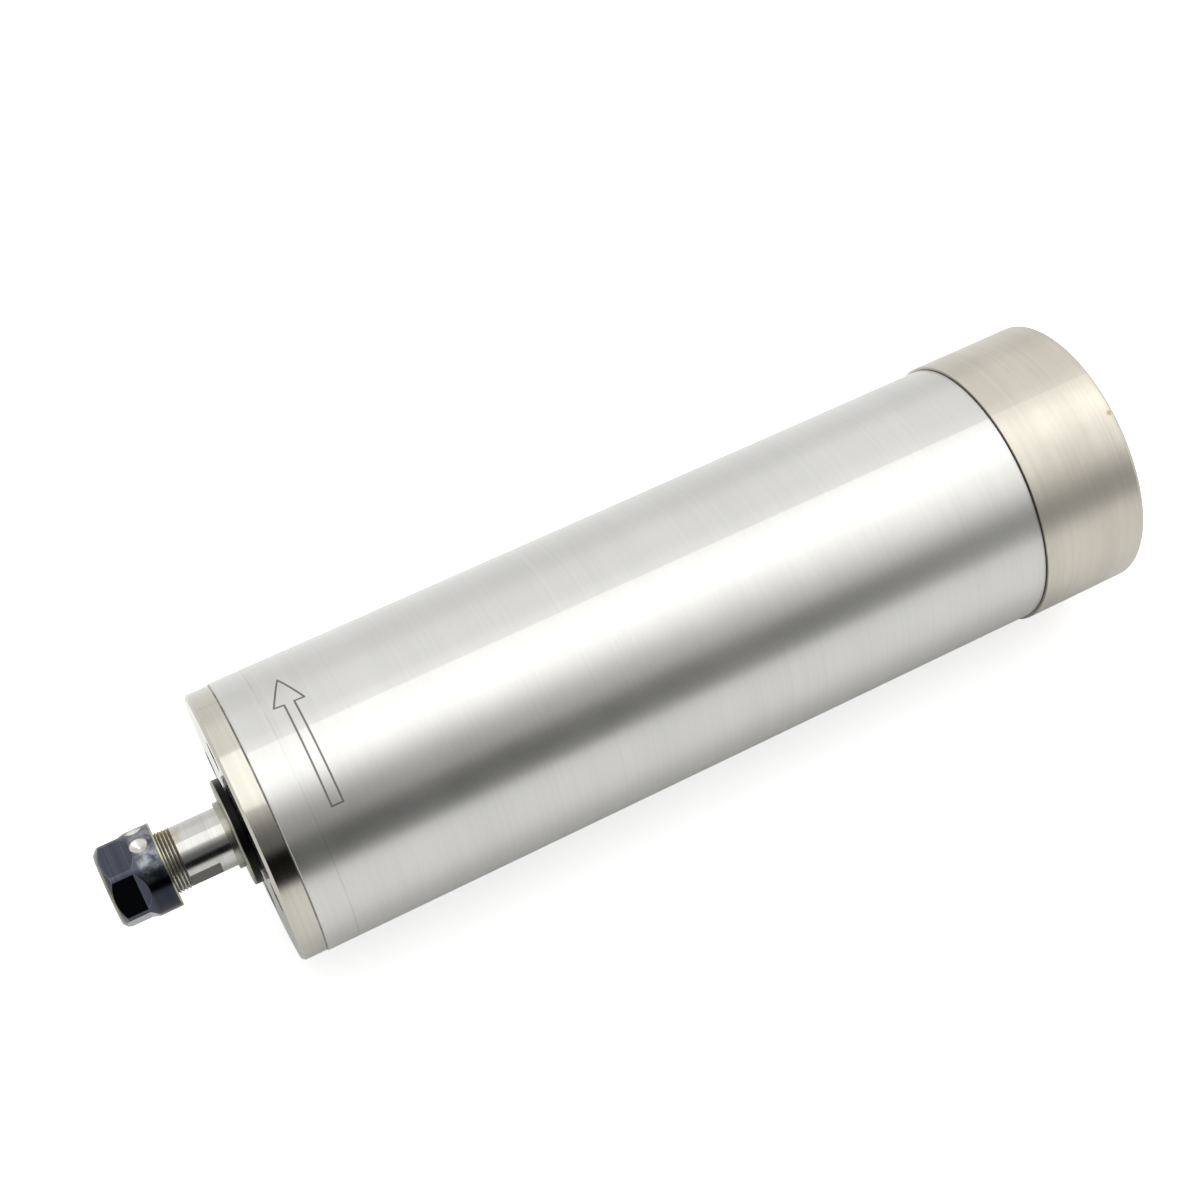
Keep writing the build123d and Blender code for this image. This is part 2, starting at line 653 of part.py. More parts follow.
def collet():
    """ER11 spring collet, slit from both ends in turn."""
    face = collet_face
    radius = COLLET_DIAMETER / 2
    nose = radius - COLLET_NOSE_LENGTH * tan(radians(COLLET_NOSE_ANGLE))
    land_end = face + COLLET_NOSE_LENGTH + COLLET_LAND
    groove_end = land_end + COLLET_GROOVE_WIDTH
    end = face + COLLET_LENGTH
    bore = COLLET_BORE / 2
    body = turned(
        (face, bore), (face, nose), (face + COLLET_NOSE_LENGTH, radius), (land_end, radius),
        (land_end, COLLET_GROOVE / 2), (groove_end, COLLET_GROOVE / 2), (groove_end, collet_taper(groove_end)),
        (end, collet_taper(end)), (end, bore),
    )
    front_slit = radial_block(face - 1, end - COLLET_WEB, 0, radius + 1, COLLET_SLIT_WIDTH)
    rear_slit = radial_block(face + COLLET_WEB, end + 1, 0, radius + 1, COLLET_SLIT_WIDTH)
    for cut in clocked(front_slit, COLLET_SLITS, 90 / COLLET_SLITS):
        body -= cut
    for cut in clocked(rear_slit, COLLET_SLITS, 270 / COLLET_SLITS):
        body -= cut
    return body


def nut_flat():
    """Cutter for one flat of the nut, on the +Z side, with its sloping run-out to the collar."""
    flat = NUT_ACROSS_FLATS / 2
    radius = NUT_DIAMETER / 2
    collar_front = NUT_REAR_X - NUT_COLLAR_LENGTH
    flat_end = collar_front - NUT_RUNOUT_LENGTH
    top = radius * 1.3
    slope = NUT_RUNOUT_LENGTH / (radius - flat)
    corners = [(NUT_FACE_X - 1, flat), (flat_end, flat), (flat_end + slope * (top - flat), top), (NUT_FACE_X - 1, top)]
    profile = make_face(Polyline(*[(x, 0, z) for x, z in corners], close=True))
    return extrude(profile, NUT_DIAMETER, both=True)


def balance_drill():
    """Pointed drill that sinks into the nut's collar from the +Z side."""
    radius = NUT_DRILL / 2
    point = radius / tan(radians(NUT_DRILL_POINT_ANGLE / 2))
    tip = NUT_DIAMETER / 2 - NUT_DRILL_DEPTH
    centre = NUT_REAR_X - NUT_COLLAR_LENGTH + NUT_DRILL_FROM_COLLAR
    outline = Polyline((0, 0, tip), (radius, 0, tip + point), (radius, 0, NUT_DIAMETER), (0, 0, NUT_DIAMETER), close=True)
    return Pos(centre, 0, 0) * revolve(make_face(outline), Axis.Z)


def collet_nut():
    """Hexagonal ER11 clamping nut with the eccentric lip that pulls the collet out."""
    radius = NUT_DIAMETER / 2
    gap = THREAD_GAP
    nose = COLLET_DIAMETER / 2 - COLLET_NOSE_LENGTH * tan(radians(COLLET_NOSE_ANGLE)) + gap
    cone_end = collet_face + COLLET_NOSE_LENGTH
    land_end = cone_end + COLLET_LAND
    lip_start = land_end + (COLLET_GROOVE_WIDTH - NUT_LIP_WIDTH) / 2
    lip_end = lip_start + NUT_LIP_WIDTH
    thread_start = SHAFT_FRONT_X - 2 * NUT_MOUTH_FLARE
    bore = COLLET_DIAMETER / 2 + 2 * gap
    thread = SHAFT_THREAD / 2 + gap
    lip = COLLET_GROOVE / 2 + gap + NUT_LIP_OFFSET
    nut = turned(
        (NUT_FACE_X, nose + NUT_MOUTH_FLARE), (NUT_FACE_X, NUT_FACE_DIAMETER / 2),
        (NUT_FACE_X + NUT_CHAMFER_LENGTH, radius), (NUT_REAR_X, radius), (NUT_REAR_X, thread),
        (thread_start, thread), (thread_start, NUT_RELIEF / 2), (lip_end, NUT_RELIEF / 2),
        (lip_end, 0), (lip_start, 0), (lip_start, bore), (cone_end, bore), (collet_face, nose),
    )
    nut -= bar(lip_start - 1, lip_end + 1, lip, 0, NUT_LIP_OFFSET)
    for cut in clocked(nut_flat(), NUT_FLATS, NUT_CORNER_CLOCK + 180 / NUT_FLATS):
        nut -= cut
    for clock in NUT_DRILL_CLOCKS:
        nut -= Rot(clock, 0, 0) * balance_drill()
    return nut


# ---- rear fittings ----
connector_y, connector_z = polar(CONNECTOR_CENTRE, CONNECTOR_CLOCK)
insert_face = cap_end + INSERT_FACE
pin_end = insert_face + PIN_REACH
pin_start = cap_chamber_end - PIN_TAIL


def connector_bar(x0, x1, radius):
    return bar(x0, x1, radius, connector_y, connector_z)


def connector_shell():
    """Round panel socket: thread outside for the plug's ring, thread inside for the nut."""
    bore = CONNECTOR_THREAD / 2 - CONNECTOR_WALL
    shell = connector_bar(cap_chamber_end - CONNECTOR_TAIL, cap_end + CONNECTOR_REACH, CONNECTOR_THREAD / 2)
    shell += connector_bar(cap_end, cap_end + CONNECTOR_FLANGE_THICKNESS, CONNECTOR_FLANGE / 2)
    shell -= connector_bar(cap_chamber_end - CONNECTOR_TAIL - 1, cap_end + CONNECTOR_REACH + 1, bore)
    key = Pos(cap_end + CONNECTOR_REACH, 0, bore) * Box(CONNECTOR_REACH, KEYWAY, KEYWAY)
    return shell - Pos(0, connector_y, connector_z) * Rot(CONNECTOR_CLOCK, 0, 0) * key


def connector_nut():
    x0 = cap_chamber_end - CONNECTOR_NUT_THICKNESS
    nut = hexagon(x0, cap_chamber_end, CONNECTOR_NUT_ACROSS_FLATS, connector_y, connector_z, CONNECTOR_CLOCK)
    return nut - connector_bar(x0 - 1, cap_chamber_end + 1, CONNECTOR_THREAD / 2 + FIT_GAP)


def pin_places():
    """Y, Z of each pin."""
    spots = [polar(PIN_CIRCLE / 2, CONNECTOR_CLOCK + PIN_CLOCK + 360 * i / PINS) for i in range(PINS)]
    return [(connector_y + y, connector_z + z) for y, z in spots]


def connector_insert():
    radius = CONNECTOR_THREAD / 2 - CONNECTOR_WALL - FIT_GAP
    insert = connector_bar(cap_chamber_end - CONNECTOR_TAIL, insert_face, radius)
    for y, z in pin_places():
        insert -= bar(pin_start - 1, pin_end + 1, PIN_DIAMETER / 2 + FIT_GAP, y, z)
    return insert


def connector_pins():
    return [bar(pin_start, pin_end, PIN_DIAMETER / 2, y, z) for y, z in pin_places()]


def nipple(clock):
    """Water stub: hexagon on the cap, thread through its wall and a plain stem for the hose."""
    y, z = polar(NIPPLE_CENTRE, clock)
    hex_end = cap_end + NIPPLE_HEX_LENGTH
    tail = cap_chamber_end - NIPPLE_TAIL
    end = cap_end + NIPPLE_REACH
    piece = hexagon(cap_end, hex_end, NIPPLE_ACROSS_FLATS, y, z, clock)
    piece += bar(tail, hex_end, NIPPLE_THREAD / 2, y, z)
    piece += bar(hex_end - 1, end, NIPPLE_STEM / 2, y, z)
    piece -= bar(tail + TUBE_SEAT - 1, end + 1, (NIPPLE_BORE - 2 * TUBE_WALL) / 2, y, z)
    return piece - bar(tail - 1, tail + TUBE_SEAT, TUBE_DIAMETER / 2 + FIT_GAP, y, z)


def water_tube(clock):
    """Copper tube from a nipple's tail to its drilling in the rear bearing housing."""
    start = rear_housing_end - TUBE_SEAT + FIT_GAP
    end = cap_chamber_end - NIPPLE_TAIL + TUBE_SEAT - FIT_GAP
    low = rear_housing_end + TUBE_SEAT
    high = cap_chamber_end - NIPPLE_TAIL - TUBE_SEAT
    route = [
        (start, *polar(WATER_CIRCLE / 2, clock)), (low, *polar(WATER_CIRCLE / 2, clock)),
        (high, *polar(NIPPLE_CENTRE, clock)), (end, *polar(NIPPLE_CENTRE, clock)),
    ]
    return swept(route, TUBE_BEND, TUBE_DIAMETER / 2) - swept(route, TUBE_BEND, TUBE_DIAMETER / 2 - TUBE_WALL)


def lead(pin, clock, start):
    """Insulated lead that runs back from x = start at a clock angle and then to a pin of the connector."""
    lead_y, lead_z = polar(LEAD_CIRCLE / 2, clock)
    pin_y, pin_z = pin_places()[pin]
    route = [
        (start, lead_y, lead_z), (rear_housing_end + LEAD_RUN / 2, lead_y, lead_z),
        (pin_start - LEAD_RUN, pin_y, pin_z), (pin_start, pin_y, pin_z),
    ]
    return swept(route, LEAD_BEND / 2, LEAD_DIAMETER / 2)


def phase_leads():
    """One lead for each phase, through the rear bearing housing."""
    start = motor_middle + STATOR_LENGTH / 2 + END_TURN_GAP + END_TURN_LENGTH
    return [lead(i, CONNECTOR_CLOCK + (i - 1) * LEAD_SPREAD / 2, start) for i in range(PINS - 1)]


# ---- write the nodes ----
write("barrel", barrel())
write("front_cover", front_cover())
write("front_cover_screws", *cover_screw())
write("front_bearing_housing", front_bearing_housing())
write("water_jacket", water_jacket())
write("housing_seals", seal_ring(front_seal_x), seal_ring(rear_seal_x))
write("stator_core", stator_core())
write("stator_winding", stator_winding())
write("rear_bearing_housing", rear_bearing_housing())
write("rear_cap", rear_cap())
write("rear_cap_screws", *cap_screw())

write_bearing("front_bearing_a", FRONT_BEARING, front_a_x)
write_bearing("front_bearing_b", FRONT_BEARING, front_b_x)
write_bearing("rear_bearing_a", REAR_BEARING, rear_a_x)
write_bearing("rear_bearing_b", REAR_BEARING, rear_b_x)
spacer_start = front_a_x + FRONT_BEARING.width
write("outer_spacer", tube(spacer_start, front_b_x, FRONT_BEARING.outer / 2, FRONT_BEARING.outer / 2 - SPACER_WALL))
inner_spacer_bore = FRONT_BEARING.bore / 2 + FIT_GAP
write("inner_spacer", tube(spacer_start, front_b_x, inner_spacer_bore + SPACER_WALL, inner_spacer_bore))
write("preload_spring", disc_spring())

write("spindle_shaft", spindle_shaft())
write("slinger", slinger())
write("rotor_core", rotor_core())
write("rotor_cage", rotor_cage())
write("balance_rings", balance_ring(balance_start, CLOCK), balance_ring(balance_end - BALANCE_RING_LENGTH, -CLOCK))
write("lock_nut", lock_nut())
write("collet", collet())
write("collet_nut", collet_nut())

write("connector_shell", connector_shell())
write("connector_nut", connector_nut())
write("connector_insert", connector_insert())
write("connector_pins", *connector_pins())
for name, clock in zip(("inlet", "outlet"), nipple_clocks):
    write(f"{name}_nipple", nipple(clock))
    write(f"{name}_tube", water_tube(clock))
write("phase_leads", *phase_leads())
write("earth_lead", lead(PINS - 1, EARTH_LEAD_CLOCK, rear_housing_end))
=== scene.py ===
from functools import cached_property
import math

import bpy
from mathutils import Matrix, Vector


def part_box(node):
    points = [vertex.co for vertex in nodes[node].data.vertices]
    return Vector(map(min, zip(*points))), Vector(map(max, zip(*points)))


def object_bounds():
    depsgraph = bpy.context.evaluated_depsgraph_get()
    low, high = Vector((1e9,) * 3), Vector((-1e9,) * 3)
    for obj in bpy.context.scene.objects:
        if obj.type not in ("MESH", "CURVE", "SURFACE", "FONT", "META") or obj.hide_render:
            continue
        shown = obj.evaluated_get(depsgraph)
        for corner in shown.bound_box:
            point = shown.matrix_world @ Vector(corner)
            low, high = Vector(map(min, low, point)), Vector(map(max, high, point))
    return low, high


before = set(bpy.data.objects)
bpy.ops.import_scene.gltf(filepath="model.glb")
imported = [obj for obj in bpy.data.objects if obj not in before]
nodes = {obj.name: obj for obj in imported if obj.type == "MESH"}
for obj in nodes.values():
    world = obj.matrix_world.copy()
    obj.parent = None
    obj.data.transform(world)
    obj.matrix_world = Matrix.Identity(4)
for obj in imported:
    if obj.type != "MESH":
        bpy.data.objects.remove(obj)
cad_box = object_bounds()

# Stations are millimetres along the axis, radii are millimetres out from it, and clocks are
# degrees round it from the top towards -Y. Blender's own sizes and places are in metres.
MM = 0.001
BARREL_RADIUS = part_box("barrel")[1].z / MM
BARREL_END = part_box("barrel")[1].x / MM
CAP_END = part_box("rear_cap")[1].x / MM
NUT_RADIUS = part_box("collet_nut")[1].z / MM
NUT_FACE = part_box("collet_nut")[0].x / MM
NUT_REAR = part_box("collet_nut")[1].x / MM
THREAD_RADIUS = 7.0
NECK_RADIUS = 6.7
FLATS_FRONT = -19.5
FLATS_REAR = -12.7
SLINGER_FACE = -7.9
DIMPLE_STATION = NUT_REAR - 3.5
DIMPLE_CLOCKS = (-13.5, -48.5)
DIMPLE_RADIUS = 1.9

CAMERA_PLACE = (-19.4, -190.8, 407.2)
CAMERA_RIGHT = (0.8871, -0.4616, 0.0)
CAMERA_UP = (0.4013, 0.7713, 0.4940)
LENS = 62.406
SENSOR = 36.0

SOFTBOX_LENGTH = 1.9
SOFTBOX_TURN = math.radians(-42.0)
SOFTBOXES = (
    {"width": 0.71, "energy": 1.275, "place": (0.517, -0.222, 1.0)},
    {"width": 0.85, "energy": 1.526, "place": (0.563, -0.170, 1.03)},
)
WINDOW_WAY = (0.0, 0.6, 0.8)
WINDOW_ENERGY = 1.15
WINDOW_SPREAD = math.radians(35.0)

# Patches of the room that are not plain white: which way each lies, its brightness, and the
# angles from its middle, in radians, where it starts to fade and where plain white begins.
PATCHES = (
    {"way": (0.176, -0.917, 0.400), "level": 0.04, "core": 0.20, "edge": 0.385},
    {"way": (-0.309, -0.750, 0.662), "level": 0.15, "core": 0.32, "edge": 0.87},
    {"way": (0.486, 0.171, 0.986), "level": 1.19, "core": 0.90, "edge": 1.20},
    {"way": (0.705, 0.162, 0.987), "level": 1.9, "core": 0.0, "edge": 0.45},
)
ROOM_ON_MATT = 0.7

FLOOR_SIZE = 12.0
FLOOR_GAP = 0.26 * MM
FLOOR_GREY = 0.88
FLOOR_SEEN = 0.6
FLOOR_MIRRORED = 0.05


# ---- shader nodes ----
def feed(tree, slot, value):
    """Links a socket to an input, or sets the input to a number, vector or colour."""
    if isinstance(value, bpy.types.NodeSocket):
        tree.links.new(value, slot)
    else:
        slot.default_value = value


def math_node(tree, operation, *values, clamp=False):
    node = tree.nodes.new("ShaderNodeMath")
    node.operation = operation
    node.use_clamp = clamp
    for slot, value in zip(node.inputs, values):
        feed(tree, slot, value)
    return node.outputs[0]


def product(tree, result, *others):
    for other in others:
        result = math_node(tree, "MULTIPLY", result, other)
    return result


def total(tree, result, *others):
    for other in others:
        result = math_node(tree, "ADD", result, other)
    return result


def largest(tree, result, *others):
    for other in others:
        result = math_node(tree, "MAXIMUM", result, other)
    return result


def vector_node(tree, operation, *values):
    node = tree.nodes.new("ShaderNodeVectorMath")
    node.operation = operation
    for slot, value in zip(node.inputs, values):
        feed(tree, slot, value)
    return node.outputs["Value"] if operation in ("LENGTH", "DOT_PRODUCT") else node.outputs["Vector"]


def vector_of(tree, **parts):
    node = tree.nodes.new("ShaderNodeCombineXYZ")
    for axis, value in parts.items():
        feed(tree, node.inputs[axis], value)
    return node.outputs[0]


def remap(tree, value, low, high, new_low, new_high):
    """Smooth step from new_low, up to low, to new_high, from high on."""
    node = tree.nodes.new("ShaderNodeMapRange")
    node.interpolation_type = "SMOOTHSTEP"
    labels = ("Value", "From Min", "From Max", "To Min", "To Max")
    for label, number in zip(labels, (value, low, high, new_low, new_high)):
        feed(tree, node.inputs[label], number)
    return node.outputs["Result"]


def rise(tree, value, low, high):
    return remap(tree, value, low, high, 0.0, 1.0)


def fade(tree, value, low, high):
    return remap(tree, value, low, high, 1.0, 0.0)


def even(tree, grain, low=0.0, high=1.0):
    """Spreads a noise, which stays near its middle, over a whole range."""
    return remap(tree, grain, 0.3, 0.7, low, high)


def noise(tree, vector, scale, detail, rough=0.55):
    node = tree.nodes.new("ShaderNodeTexNoise")
    node.noise_dimensions = "3D"
    for label, value in (("Vector", vector), ("Scale", scale), ("Detail", detail), ("Roughness", rough)):
        feed(tree, node.inputs[label], value)
    return node.outputs["Fac"]


def blend_colours(tree, share, first, second):
    node = tree.nodes.new("ShaderNodeMix")
    node.data_type = "RGBA"
    for slot, value in ((node.inputs[0], share), (node.inputs[6], first), (node.inputs[7], second)):
        feed(tree, slot, (*value, 1.0) if isinstance(value, tuple) else value)
    return node.outputs[2]


def blend_numbers(tree, share, first, second):
    node = tree.nodes.new("ShaderNodeMix")
    node.data_type = "FLOAT"
    for slot, value in zip((node.inputs[0], node.inputs[2], node.inputs[3]), (share, first, second)):
        feed(tree, slot, value)
    return node.outputs[0]


# ---- camera, light and floor ----
def camera():
    """Looks down on the nose from its left, 60 degrees above level."""
    right = Vector(CAMERA_RIGHT).normalized()
    up = Vector(CAMERA_UP).normalized()
    data = bpy.data.cameras.new("camera")
    data.sensor_fit = "HORIZONTAL"
    data.sensor_width = SENSOR
    data.lens = LENS
    data.clip_start = 0.01
    data.clip_end = 50.0
    eye = bpy.data.objects.new("camera", data)
    turn = Matrix((right, up, right.cross(up))).transposed().to_4x4()
    eye.matrix_world = Matrix.Translation(Vector(CAMERA_PLACE) * MM) @ turn
    bpy.context.collection.objects.link(eye)
    bpy.context.scene.camera = eye


def new_lamp(name, kind, energy):
    data = bpy.data.lights.new(name, kind)
    data.energy = energy
    lamp = bpy.data.objects.new(name, data)
    lamp.visible_camera = False
    bpy.context.collection.objects.link(lamp)
    return lamp


def softbox():
    """Long soft lamp overhead, turned from the axis. It is two that overlap, so its far edge is soft."""
    for box in SOFTBOXES:
        lamp = new_lamp("softbox", "AREA", box["energy"])
        lamp.data.shape = "RECTANGLE"
        lamp.data.size = SOFTBOX_LENGTH
        lamp.data.size_y = box["width"]
        lamp.location = box["place"]
        lamp.rotation_euler = (0.0, 0.0, SOFTBOX_TURN)


def window():
    """Even light from the far side. It gives the floor its shadow and stays out of the metal."""
    lamp = new_lamp("window", "SUN", WINDOW_ENERGY)
    lamp.data.angle = WINDOW_SPREAD
    lamp.rotation_euler = Vector(WINDOW_WAY).to_track_quat("Z", "Y").to_euler()
    lamp.visible_glossy = False


def studio():
    """White room, dark low on the near side, dim before the nose and brighter overhead to the rear."""
    world = bpy.data.worlds.new("studio")
    bpy.context.scene.world = world
    world.use_nodes = True
    tree = world.node_tree
    tree.nodes.clear()
    way = tree.nodes.new("ShaderNodeTexCoord").outputs["Generated"]
    levels = []
    for patch in PATCHES:
        facing = vector_node(tree, "DOT_PRODUCT", way, Vector(patch["way"]).normalized())
        angle = math_node(tree, "ARCCOSINE", facing)
        levels.append(remap(tree, angle, patch["core"], patch["edge"], patch["level"], 1.0))
    ray = tree.nodes.new("ShaderNodeLightPath").outputs
    seen = largest(tree, ray["Is Camera Ray"], ray["Is Transmission Ray"])
    share = largest(tree, ray["Is Glossy Ray"], ROOM_ON_MATT)
    background = tree.nodes.new("ShaderNodeBackground")
    feed(tree, background.inputs["Color"], (1.0, 1.0, 1.0, 1.0))
    feed(tree, background.inputs["Strength"], largest(tree, seen, product(tree, share, *levels)))
    output = tree.nodes.new("ShaderNodeOutputWorld")
    tree.links.new(background.outputs[0], output.inputs["Surface"])


def floor_paint():
    """Matt pale grey that the camera sees as white, with the shadow kept."""
    paint = bpy.data.materials.new("floor_paint")
    paint.use_nodes = True
    tree = paint.node_tree
    tree.nodes.clear()
    matt = tree.nodes.new("ShaderNodeBsdfDiffuse")
    feed(tree, matt.inputs["Color"], (FLOOR_GREY, FLOOR_GREY, FLOOR_GREY, 1.0))
    ray = tree.nodes.new("ShaderNodeLightPath").outputs
    seen = largest(tree, ray["Is Camera Ray"], ray["Is Transmission Ray"])
    shown = product(tree, seen, FLOOR_SEEN)
    mirrored = product(tree, ray["Is Glossy Ray"], FLOOR_MIRRORED)
    glow = tree.nodes.new("ShaderNodeEmission")
    feed(tree, glow.inputs["Strength"], largest(tree, shown, mirrored))
    both = tree.nodes.new("ShaderNodeAddShader")
    tree.links.new(matt.outputs[0], both.inputs[0])
    tree.links.new(glow.outputs[0], both.inputs[1])
    output = tree.nodes.new("ShaderNodeOutputMaterial")
    tree.links.new(both.outputs[0], output.inputs["Surface"])
    return paint


def floor():
    """Plain floor just under the spindle, wide enough for every view."""
    bpy.ops.object.select_all(action="DESELECT")
    level = cad_box[0][2] - FLOOR_GAP
    bpy.ops.mesh.primitive_plane_add(size=FLOOR_SIZE, location=(0.0, 0.0, level))
    plane = bpy.context.object
    plane.name = "floor"
    bpy.ops.object.transform_apply(location=True, rotation=True, scale=True)
    plane.data.materials.append(floor_paint())


# ---- shared effects ----
EFFECTS = {}


def new_effect(name, inputs, outputs):
    """Empty node group. A number makes a value input and a tuple a vector input; outputs are values."""
    group = bpy.data.node_groups.new(name, "ShaderNodeTree")
    for label, start in inputs.items():
        kind = "NodeSocketVector" if isinstance(start, tuple) else "NodeSocketFloat"
        socket = group.interface.new_socket(name=label, in_out="INPUT", socket_type=kind)
        socket.default_value = start
    for label in outputs:
        group.interface.new_socket(name=label, in_out="OUTPUT", socket_type="NodeSocketFloat")
    EFFECTS[name] = group
    given = group.nodes.new("NodeGroupInput").outputs
    wanted = group.nodes.new("NodeGroupOutput").inputs
    return group, given, wanted


def make_place_on_axis():
    """Millimetres along the axis, degrees round it from the top towards -Y, and millimetres out."""
    group, given, wanted = new_effect("place_on_axis", {"Vector": (0.0, 0.0, 0.0)}, ("Along", "Turn", "Out"))
    node = group.nodes.new("ShaderNodeSeparateXYZ")
    feed(group, node.inputs[0], given["Vector"])
    x, y, z = node.outputs
    turn = math_node(group, "ARCTAN2", product(group, y, -1.0), z)
    squares = total(group, product(group, y, y), product(group, z, z))
    feed(group, wanted["Along"], product(group, x, 1.0 / MM))
    feed(group, wanted["Turn"], product(group, turn, math.degrees(1.0)))
    feed(group, wanted["Out"], product(group, math_node(group, "SQRT", squares), 1.0 / MM))


def make_tool_marks():
    """Marks of the tool and the belt: close along the axis, long round it, in broader bands of tone."""
    group, given, wanted = new_effect(
        "tool_marks", {"Vector": (0.0, 0.0, 0.0), "Fine": 5000.0, "Broad": 260.0, "Round": 22.0},
        ("Height", "Tone"),
    )
    marks = []
    for label, detail in (("Fine", 1.0), ("Broad", 4.0)):
        stretch = vector_of(group, X=given[label], Y=given["Round"], Z=given["Round"])
        marks.append(noise(group, vector_node(group, "MULTIPLY", given["Vector"], stretch), 1.0, detail))
    fine, broad = marks
    feed(group, wanted["Height"], fine)
    feed(group, wanted["Tone"], total(group, product(group, fine, 0.45), product(group, broad, 0.55)))


def make_handling():
    """Cloudy smudges from hands, and sparse hairline scratches in two directions."""
    group, given, wanted = new_effect(
        "handling", {"Vector": (0.0, 0.0, 0.0), "Size": 45.0, "Scratch Size": 60.0},
        ("Smudge", "Scratch"),
    )
    cloud = noise(group, given["Vector"], given["Size"], 5.0, 0.6)
    feed(group, wanted["Smudge"], rise(group, cloud, 0.42, 0.68))
    kept = rise(group, noise(group, given["Vector"], 90.0, 2.0), 0.58, 0.66)
    hairlines = []
    for turn, stretch in (((0.3, 0.2, 0.5), (30.0, 1.0, 1.0)), ((1.1, 0.4, -0.7), (24.0, 1.2, 1.0))):
        mapping = group.nodes.new("ShaderNodeMapping")
        feed(group, mapping.inputs["Vector"], given["Vector"])
        feed(group, mapping.inputs["Rotation"], turn)
        feed(group, mapping.inputs["Scale"], stretch)
        grain = noise(group, mapping.outputs[0], given["Scratch Size"], 1.0, 0.4)
        away = math_node(group, "ABSOLUTE", math_node(group, "SUBTRACT", grain, 0.5))
        hairlines.append(product(group, fade(group, away, 0.0, 0.012), kept))
    feed(group, wanted["Scratch"], largest(group, *hairlines))


def make_rim():
    """Band where a measure is at a station, broken up by noise, for a worn or dirty edge."""
    group, given, wanted = new_effect(
        "rim", {"Vector": (0.0, 0.0, 0.0), "Measure": 0.0, "Station": 0.0, "Width": 0.3, "Broken": 0.4},
        ("Mask",),
    )
    away = math_node(group, "ABSOLUTE", math_node(group, "SUBTRACT", given["Measure"], given["Station"]))
    band = fade(group, math_node(group, "DIVIDE", away, given["Width"]), 0.35, 1.0)
    patch = rise(group, noise(group, given["Vector"], 210.0, 3.0), 0.35, 0.7)
    kept = math_node(group, "SUBTRACT", 1.0, product(group, patch, given["Broken"]))
    feed(group, wanted["Mask"], math_node(group, "MULTIPLY", band, kept, clamp=True))


def make_mark_line():
    """Straight stroke between two points, on a surface laid out flat in millimetres."""
    group, given, wanted = new_effect(
        "mark_line",
        {"Place": (0.0, 0.0, 0.0), "Start": (0.0, 0.0, 0.0), "End": (1.0, 0.0, 0.0), "Half Width": 0.2},
        ("Mask",),
    )
    reach = vector_node(group, "SUBTRACT", given["End"], given["Start"])
    offset = vector_node(group, "SUBTRACT", given["Place"], given["Start"])
    along = vector_node(group, "DOT_PRODUCT", offset, reach)
    length = vector_node(group, "DOT_PRODUCT", reach, reach)
    share = math_node(group, "DIVIDE", along, length, clamp=True)
    step = vector_node(group, "MULTIPLY", reach, vector_of(group, X=share, Y=share, Z=share))
    distance = vector_node(group, "LENGTH", vector_node(group, "SUBTRACT", offset, step))
    soft = product(group, given["Half Width"], 0.6)
    feed(group, wanted["Mask"], fade(group, distance, soft, given["Half Width"]))


def make_pores():
    """Fine even grain for moulded or cast surfaces, with a broader cloud of tone."""
    group, given, wanted = new_effect(
        "pores", {"Vector": (0.0, 0.0, 0.0), "Size": 1800.0}, ("Height", "Tone"),
    )
    feed(group, wanted["Height"], noise(group, given["Vector"], given["Size"], 3.0, 0.6))
    feed(group, wanted["Tone"], noise(group, given["Vector"], 120.0, 4.0, 0.6))


def make_edge_wear():
    """Where corners and edges are rubbed bright, broken up by noise."""
    group, given, wanted = new_effect(
        "edge_wear", {"Vector": (0.0, 0.0, 0.0), "Reach": 0.0003, "Broken": 0.5}, ("Mask",),
    )
    rounded = group.nodes.new("ShaderNodeBevel")
    rounded.samples = 6
    feed(group, rounded.inputs["Radius"], given["Reach"])
    face = group.nodes.new("ShaderNodeNewGeometry").outputs["Normal"]
    agree = vector_node(group, "DOT_PRODUCT", rounded.outputs[0], face)
    edge = remap(group, agree, 0.9995, 0.93, 0.0, 1.0)
    patch = rise(group, noise(group, given["Vector"], 420.0, 4.0, 0.65), 0.35, 0.62)
    kept = math_node(group, "SUBTRACT", 1.0, product(group, patch, given["Broken"]))
    feed(group, wanted["Mask"], math_node(group, "MULTIPLY", edge, kept, clamp=True))


def make_round_spot():
    """Round patch on a turned surface, centred at a station along the axis and a clock round it."""
    group, given, wanted = new_effect(
        "round_spot",
        {"Along": 0.0, "Turn": 0.0, "Out": 1.0, "Station": 0.0, "Clock": 0.0, "Radius": 1.0, "Soft": 0.1},
        ("Mask",),
    )
    step = math_node(group, "SUBTRACT", given["Along"], given["Station"])
    swing = math_node(group, "SUBTRACT", given["Turn"], given["Clock"])
    arc = product(group, swing, math.radians(1.0), given["Out"])
    away = vector_node(group, "LENGTH", vector_of(group, X=step, Y=arc))
    inner = math_node(group, "SUBTRACT", given["Radius"], given["Soft"])
    outer = total(group, given["Radius"], given["Soft"])
    feed(group, wanted["Mask"], fade(group, away, inner, outer))


